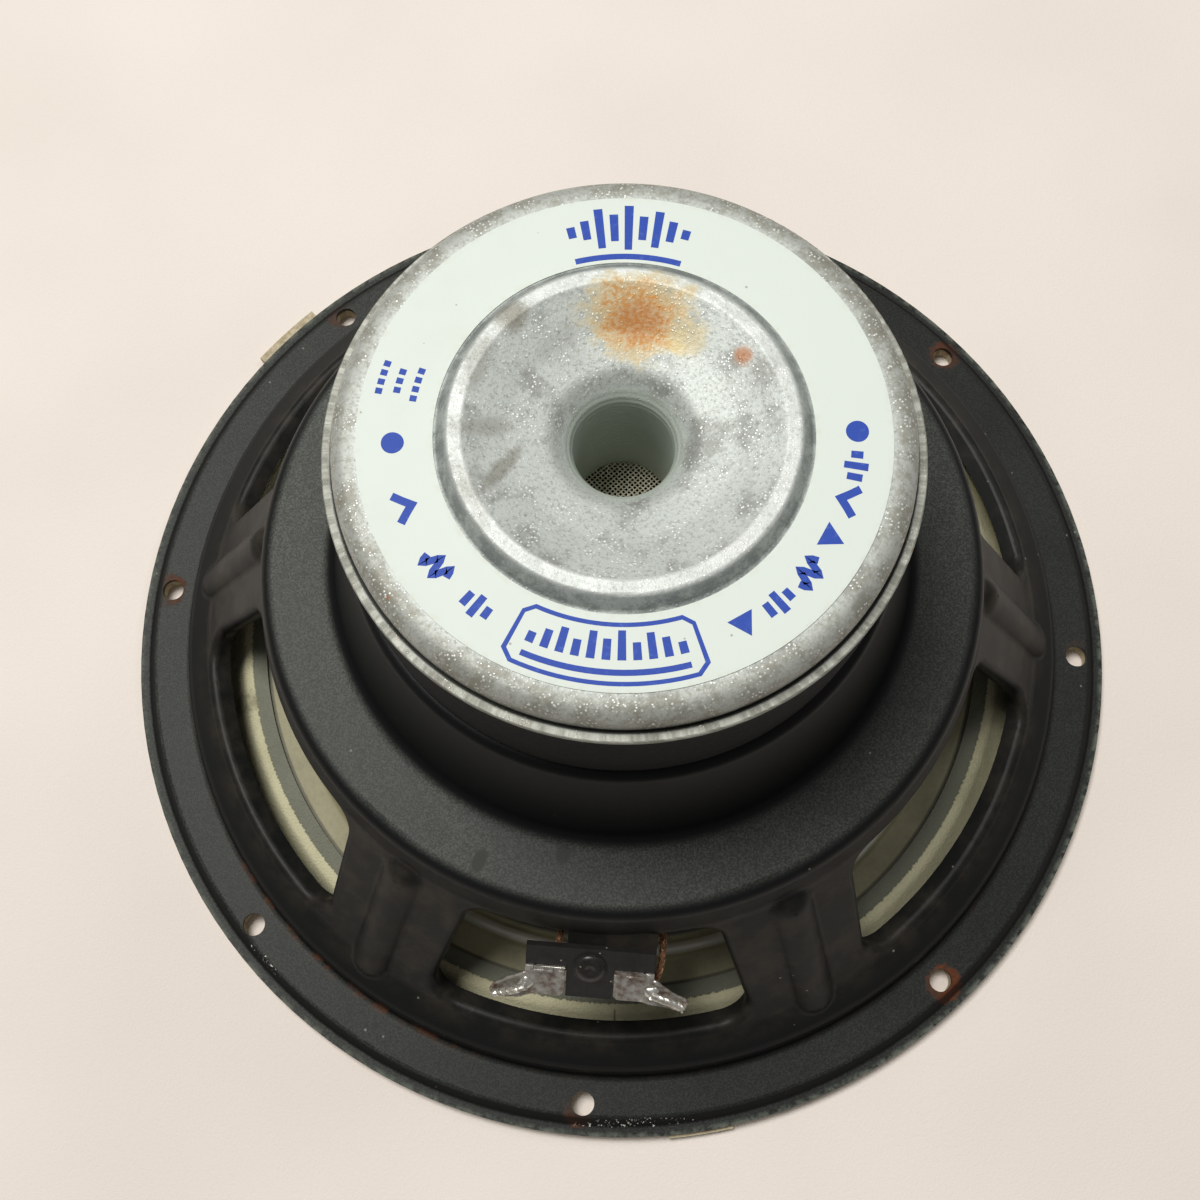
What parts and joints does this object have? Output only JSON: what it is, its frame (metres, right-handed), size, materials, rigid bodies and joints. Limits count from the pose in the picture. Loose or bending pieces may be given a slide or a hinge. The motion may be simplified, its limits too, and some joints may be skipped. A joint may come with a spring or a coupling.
{
  "type": "car subwoofer speaker",
  "caption": "Low-frequency car loudspeaker driver: pressed steel basket with windows, ringed magnet with vented back plate, paper cone on a sprung slide, side terminal.",
  "frame": {"origin": "on the speaker's axis at the front face of the gasket, which is the lowest plane when the speaker lies face down", "axes": "+Z along the speaker's axis from the face to the back of the magnet, -Y towards the terminal"},
  "size_m": [0.258, 0.258, 0.1305],
  "materials": {
    "basket_paint": "satin black paint with dust and worn edges",
    "surround_foam": "matt khaki foam",
    "spider_cloth": "resin-dipped cloth",
    "plate_paint": "satin black",
    "ferrite": "satin black coated ferrite",
    "zinc_steel": "weathered zinc plate",
    "screen_steel": "woven wire",
    "label_film": "satin pale label",
    "rivet_steel": "satin steel",
    "phenolic": "matt black laminate",
    "rivet_dark": "dull black steel",
    "cone_paper": "treated paper, khaki and grey",
    "cap_paper": "treated paper",
    "former_foil": "bare foil",
    "copper_wire": "enamelled copper",
    "collar_paper": "kraft paper",
    "glue": "set adhesive",
    "gasket_board": "grey-buff fibre board",
    "tinned_lug": "dull tin plate",
    "tinned_wire": "dull tin plate",
    "solder": "dull solder",
    "copper_braid": "copper tinsel braid"
  },
  "bodies": {
    "frame": {"basket": "basket_paint", "surround": "surround_foam", "spider": "spider_cloth", "front_plate": "plate_paint", "ferrite_magnet": "ferrite", "pole_yoke": "zinc_steel", "vent_screen": "screen_steel", "rear_label": "label_film", "basket_rivets": "rivet_steel", "terminal_board": "phenolic", "terminal_rivet": "rivet_dark", "gasket_piece_1": "gasket_board", "gasket_piece_2": "gasket_board", "gasket_piece_3": "gasket_board", "gasket_piece_4": "gasket_board", "terminal_lug_left": "tinned_lug", "wire_stub_left": "tinned_wire", "solder_left": "solder", "tinsel_lead_left": "copper_braid", "terminal_lug_right": "tinned_lug", "wire_stub_right": "tinned_wire", "solder_right": "solder", "tinsel_lead_right": "copper_braid"},
    "moving_assembly": {"cone": "cone_paper", "dust_cap": "cap_paper", "voice_coil_former": "former_foil", "voice_coil_winding": "copper_wire", "former_collar": "collar_paper", "cone_neck_glue": "glue", "dust_cap_glue": "glue", "lead_pad_left": "glue", "lead_pad_right": "glue"}
  },
  "joints": [
    {"name": "cone_travel", "type": "slide", "parent": "frame", "child": "moving_assembly", "axis": [0, 0, 1], "range_m": [-0.008, 0.008], "stiffness_N_per_m": 3000, "deforming": ["surround", "spider", "tinsel_lead_left", "tinsel_lead_right"]}
  ]
}
